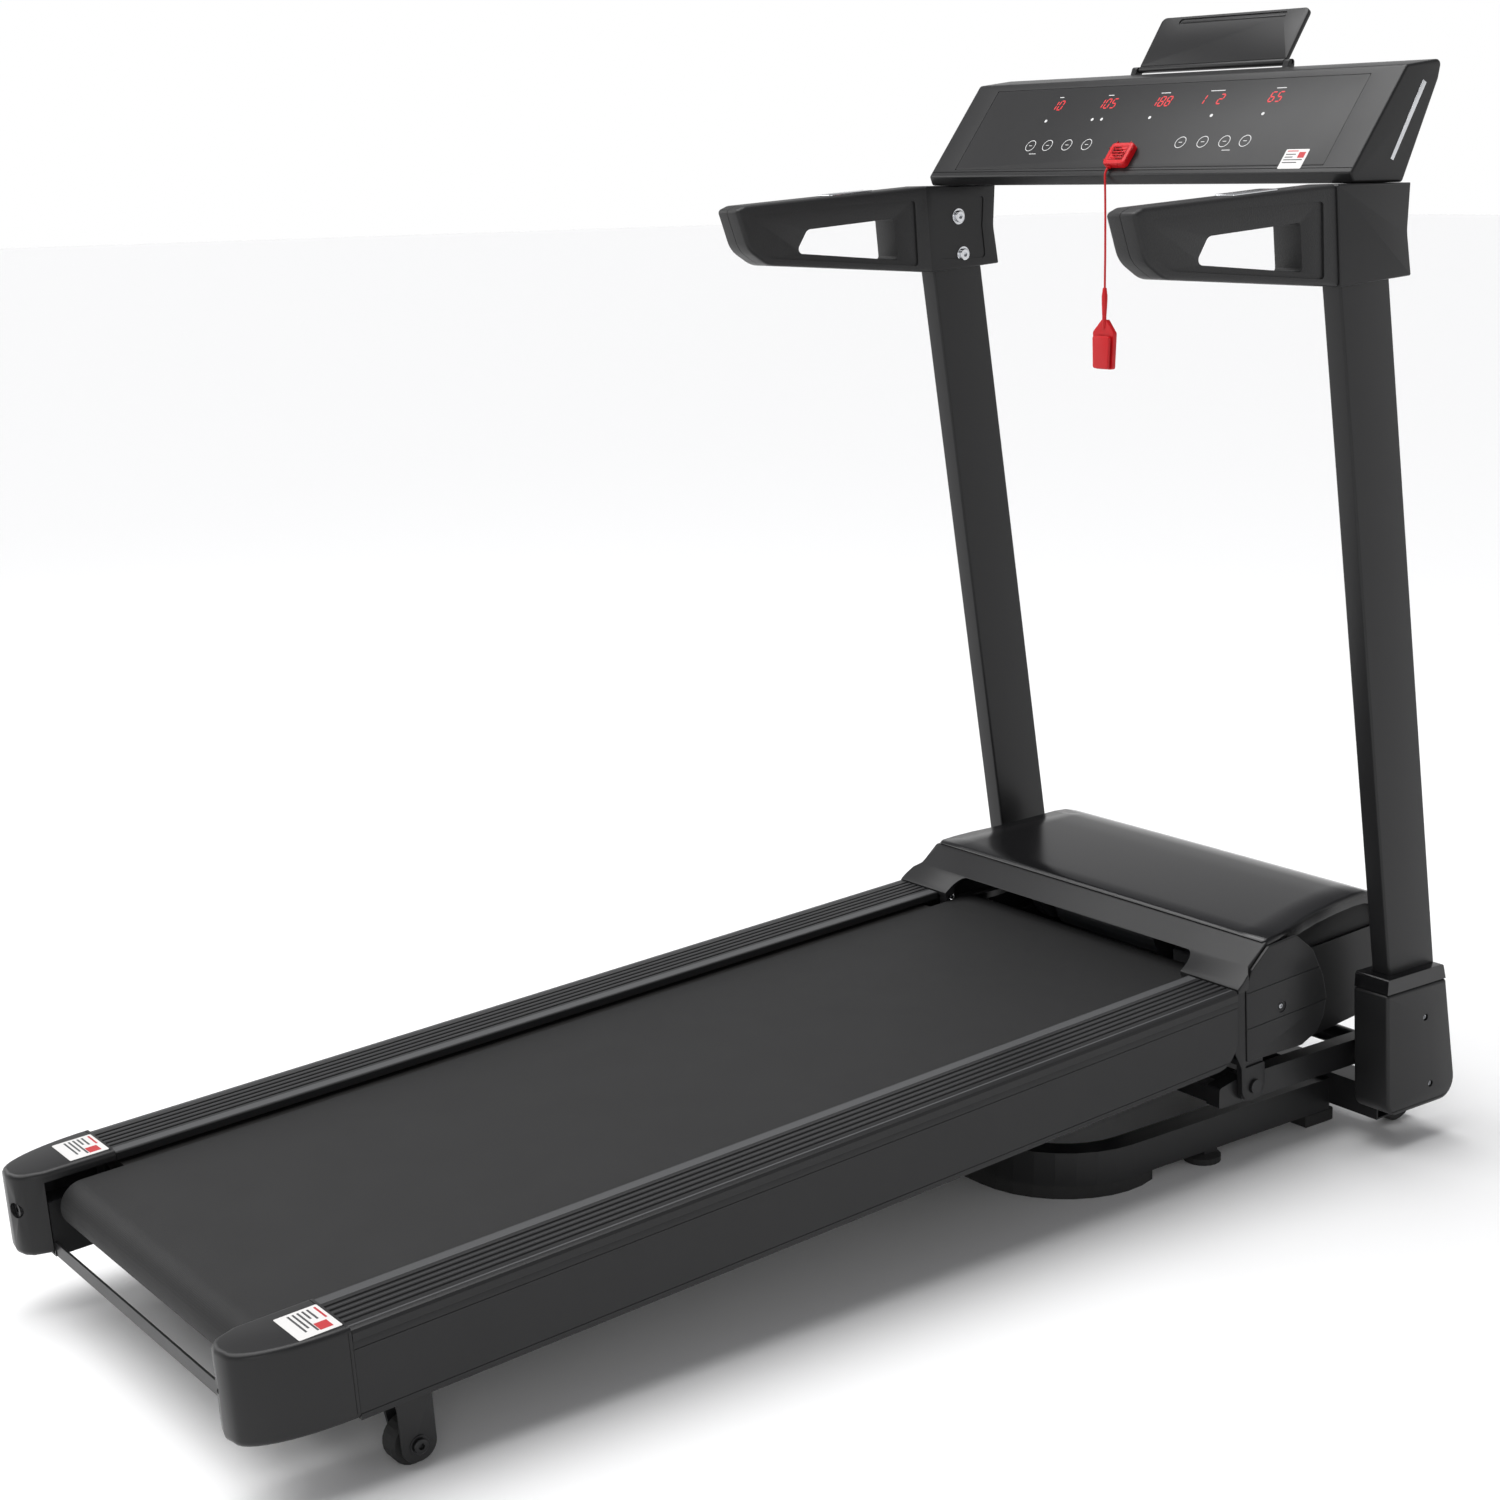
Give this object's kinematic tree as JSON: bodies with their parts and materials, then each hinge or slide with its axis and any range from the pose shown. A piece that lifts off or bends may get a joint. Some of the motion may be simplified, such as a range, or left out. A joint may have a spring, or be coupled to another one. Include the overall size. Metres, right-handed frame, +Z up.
{
  "type": "treadmill",
  "caption": "Folding motorised treadmill: running deck on a lift frame, base frame with two uprights, side handles, console, tablet rest and safety key.",
  "frame": {"origin": "centre of the footprint, on the floor", "axes": "+Y from the deck's tail to the console, +X to the user's right, +Z up"},
  "size_m": [0.72, 1.5748, 1.3296],
  "materials": {
    "frame_paint": "fine matt textured powder coat, black",
    "moulded_plastic": "fine grained black moulding",
    "gloss_plastic": "high gloss black",
    "rubber": "black rubber",
    "belt_rubber": "fine textured dark grey running surface",
    "board_wood": "waxed board",
    "chrome_metal": "bright",
    "bright_steel": "zinc plated",
    "roller_aluminium": "turned",
    "cast_motor": "painted casting",
    "controller_case": "satin",
    "safety_red": "red"
  },
  "bodies": {
    "base": {"base_frame": "frame_paint", "rear_pad": "rubber", "console_shell": "gloss_plastic", "console_panel": "gloss_plastic", "console_crossbar": "frame_paint", "mid_foot_l": "rubber", "mid_foot_r": "rubber", "front_foot_l": "rubber", "front_foot_r": "rubber", "upright_l": "frame_paint", "upright_r": "frame_paint", "foot_cover_l": "moulded_plastic", "foot_cover_r": "moulded_plastic", "neck_l": "moulded_plastic", "neck_r": "moulded_plastic", "handle_l": "moulded_plastic", "handle_r": "moulded_plastic", "pulse_plate_l": "chrome_metal", "pulse_plate_r": "chrome_metal"},
    "front_axle": {"front_axle": "bright_steel"},
    "lift_frame": {"lift_frame": "frame_paint", "pivot_bolt_l": "bright_steel", "pivot_bolt_r": "bright_steel"},
    "deck": {"deck_frame": "frame_paint", "deck_board": "board_wood", "running_belt": "belt_rubber", "hood_top": "gloss_plastic", "hood_pan": "moulded_plastic", "drive_motor": "cast_motor", "motor_controller": "controller_case", "drive_belt": "rubber", "power_inlet": "moulded_plastic", "side_rail_l": "frame_paint", "side_rail_r": "frame_paint", "foot_rail_l": "moulded_plastic", "foot_rail_r": "moulded_plastic", "rear_cap_l": "moulded_plastic", "rear_cap_r": "moulded_plastic", "tension_bolt_l": "bright_steel", "tension_bolt_r": "bright_steel", "side_panel_l": "moulded_plastic", "side_panel_r": "moulded_plastic"},
    "strut_cylinder": {"strut_cylinder": "frame_paint"},
    "strut_rod": {"strut_rod": "chrome_metal"},
    "incline_motor": {"incline_motor": "controller_case"},
    "incline_ram": {"incline_ram": "chrome_metal"},
    "front_roller": {"front_roller": "roller_aluminium"},
    "rear_roller": {"rear_roller": "roller_aluminium"},
    "flywheel": {"motor_flywheel": "cast_motor"},
    "rear_wheel_l": {"rear_wheel_l": "rubber"},
    "rear_wheel_r": {"rear_wheel_r": "rubber"},
    "transport_wheel_l": {"transport_wheel_l": "rubber"},
    "transport_wheel_r": {"transport_wheel_r": "rubber"},
    "tablet_flap": {"tablet_flap": "moulded_plastic"},
    "safety_key": {"safety_key": "safety_red", "safety_cord": "safety_red", "cord_clip": "safety_red"},
    "clip_lever": {"clip_lever": "safety_red"},
    "power_rocker": {"power_rocker": "moulded_plastic"},
    "breaker_button": {"breaker_button": "moulded_plastic"}
  },
  "joints": [
    {"name": "fold", "type": "hinge", "parent": "base", "child": "front_axle", "pos_m": [0, 0.7215, 0.102], "axis": [-1, 0, 0], "range_deg": [0, 68]},
    {"name": "incline", "type": "hinge", "parent": "front_axle", "child": "lift_frame", "pos_m": [0, 0.7215, 0.102], "axis": [-1, 0, 0], "range_deg": [0, 12]},
    {"name": "deck_level", "type": "hinge", "parent": "lift_frame", "child": "deck", "pos_m": [0, 0.5015, 0.106], "axis": [-1, 0, 0], "range_deg": [-14.5, 0]},
    {"name": "strut_swing", "type": "hinge", "parent": "base", "child": "strut_cylinder", "pos_m": [-0.07, 0.6215, 0.045], "axis": [-1, 0, 0], "range_deg": [0, 72.2]},
    {"name": "strut_extend", "type": "slide", "parent": "strut_cylinder", "child": "strut_rod", "axis": [0, -0.9922, 0.125], "range_m": [0, 0.1245]},
    {"name": "incline_swing", "type": "hinge", "parent": "deck", "child": "incline_motor", "pos_m": [0.08, 0.1815, 0.105], "axis": [-1, 0, 0], "range_deg": [-0.5, 0]},
    {"name": "incline_stroke", "type": "slide", "parent": "incline_motor", "child": "incline_ram", "axis": [0, 0.9824, -0.187], "range_m": [-0.0155, 0]},
    {"name": "front_roller_spin", "type": "hinge", "parent": "deck", "child": "front_roller", "pos_m": [0, 0.49953, 0.19915], "axis": [-1, 0, 0], "continuous": true},
    {"name": "rear_roller_spin", "type": "hinge", "parent": "deck", "child": "rear_roller", "pos_m": [0, -0.72122, 0.12504], "axis": [-1, 0, 0], "continuous": true},
    {"name": "flywheel_spin", "type": "hinge", "parent": "deck", "child": "flywheel", "pos_m": [-0.201, 0.65136, 0.20666], "axis": [-1, 0, 0], "continuous": true},
    {"name": "rear_wheel_l_spin", "type": "hinge", "parent": "deck", "child": "rear_wheel_l", "pos_m": [-0.269, -0.6105, 0.0244], "axis": [-1, 0, 0], "continuous": true},
    {"name": "transport_wheel_l_spin", "type": "hinge", "parent": "base", "child": "transport_wheel_l", "pos_m": [-0.2865, 0.7595, 0.0285], "axis": [-1, 0, 0], "continuous": true},
    {"name": "rear_wheel_r_spin", "type": "hinge", "parent": "deck", "child": "rear_wheel_r", "pos_m": [0.269, -0.6105, 0.0244], "axis": [-1, 0, 0], "continuous": true},
    {"name": "transport_wheel_r_spin", "type": "hinge", "parent": "base", "child": "transport_wheel_r", "pos_m": [0.2865, 0.7595, 0.0285], "axis": [-1, 0, 0], "continuous": true},
    {"name": "tablet_flap_tilt", "type": "hinge", "parent": "base", "child": "tablet_flap", "pos_m": [0, 0.696, 1.2675], "axis": [-1, 0, 0], "range_deg": [0, 70]},
    {"name": "safety_key_pull", "type": "slide", "parent": "base", "child": "safety_key", "axis": [0, -0.7945, 0.6072], "range_m": [0, 0.03]},
    {"name": "clip_squeeze", "type": "hinge", "parent": "safety_key", "child": "clip_lever", "pos_m": [-0.0201, 0.5415, 0.94], "axis": [-1, 0, 0], "range_deg": [0, 6], "stiffness_Nm_per_rad": 0.05, "springref_deg": -5.73},
    {"name": "power_rocker_press", "type": "hinge", "parent": "deck", "child": "power_rocker", "pos_m": [-0.158, 0.75357, 0.18982], "axis": [-1, 0, 0], "range_deg": [-14, 0]},
    {"name": "breaker_reset", "type": "slide", "parent": "deck", "child": "breaker_button", "axis": [0, 0.9982, 0.0606], "range_m": [-0.003, 0], "stiffness_N_per_m": 400}
  ],
  "couplings": [
    {"joint": "deck_level", "follows": "incline", "ratio": -1.197},
    {"joint": "strut_swing", "follows": "fold", "ratio": 1.0568},
    {"joint": "strut_extend", "follows": "fold", "m_per_rad": 0.1037},
    {"joint": "incline_swing", "follows": "incline", "ratio": -0.0247},
    {"joint": "incline_stroke", "follows": "incline", "m_per_rad": -0.0722},
    {"joint": "rear_roller_spin", "follows": "front_roller_spin", "ratio": 1},
    {"joint": "flywheel_spin", "follows": "front_roller_spin", "ratio": 1.4}
  ]
}
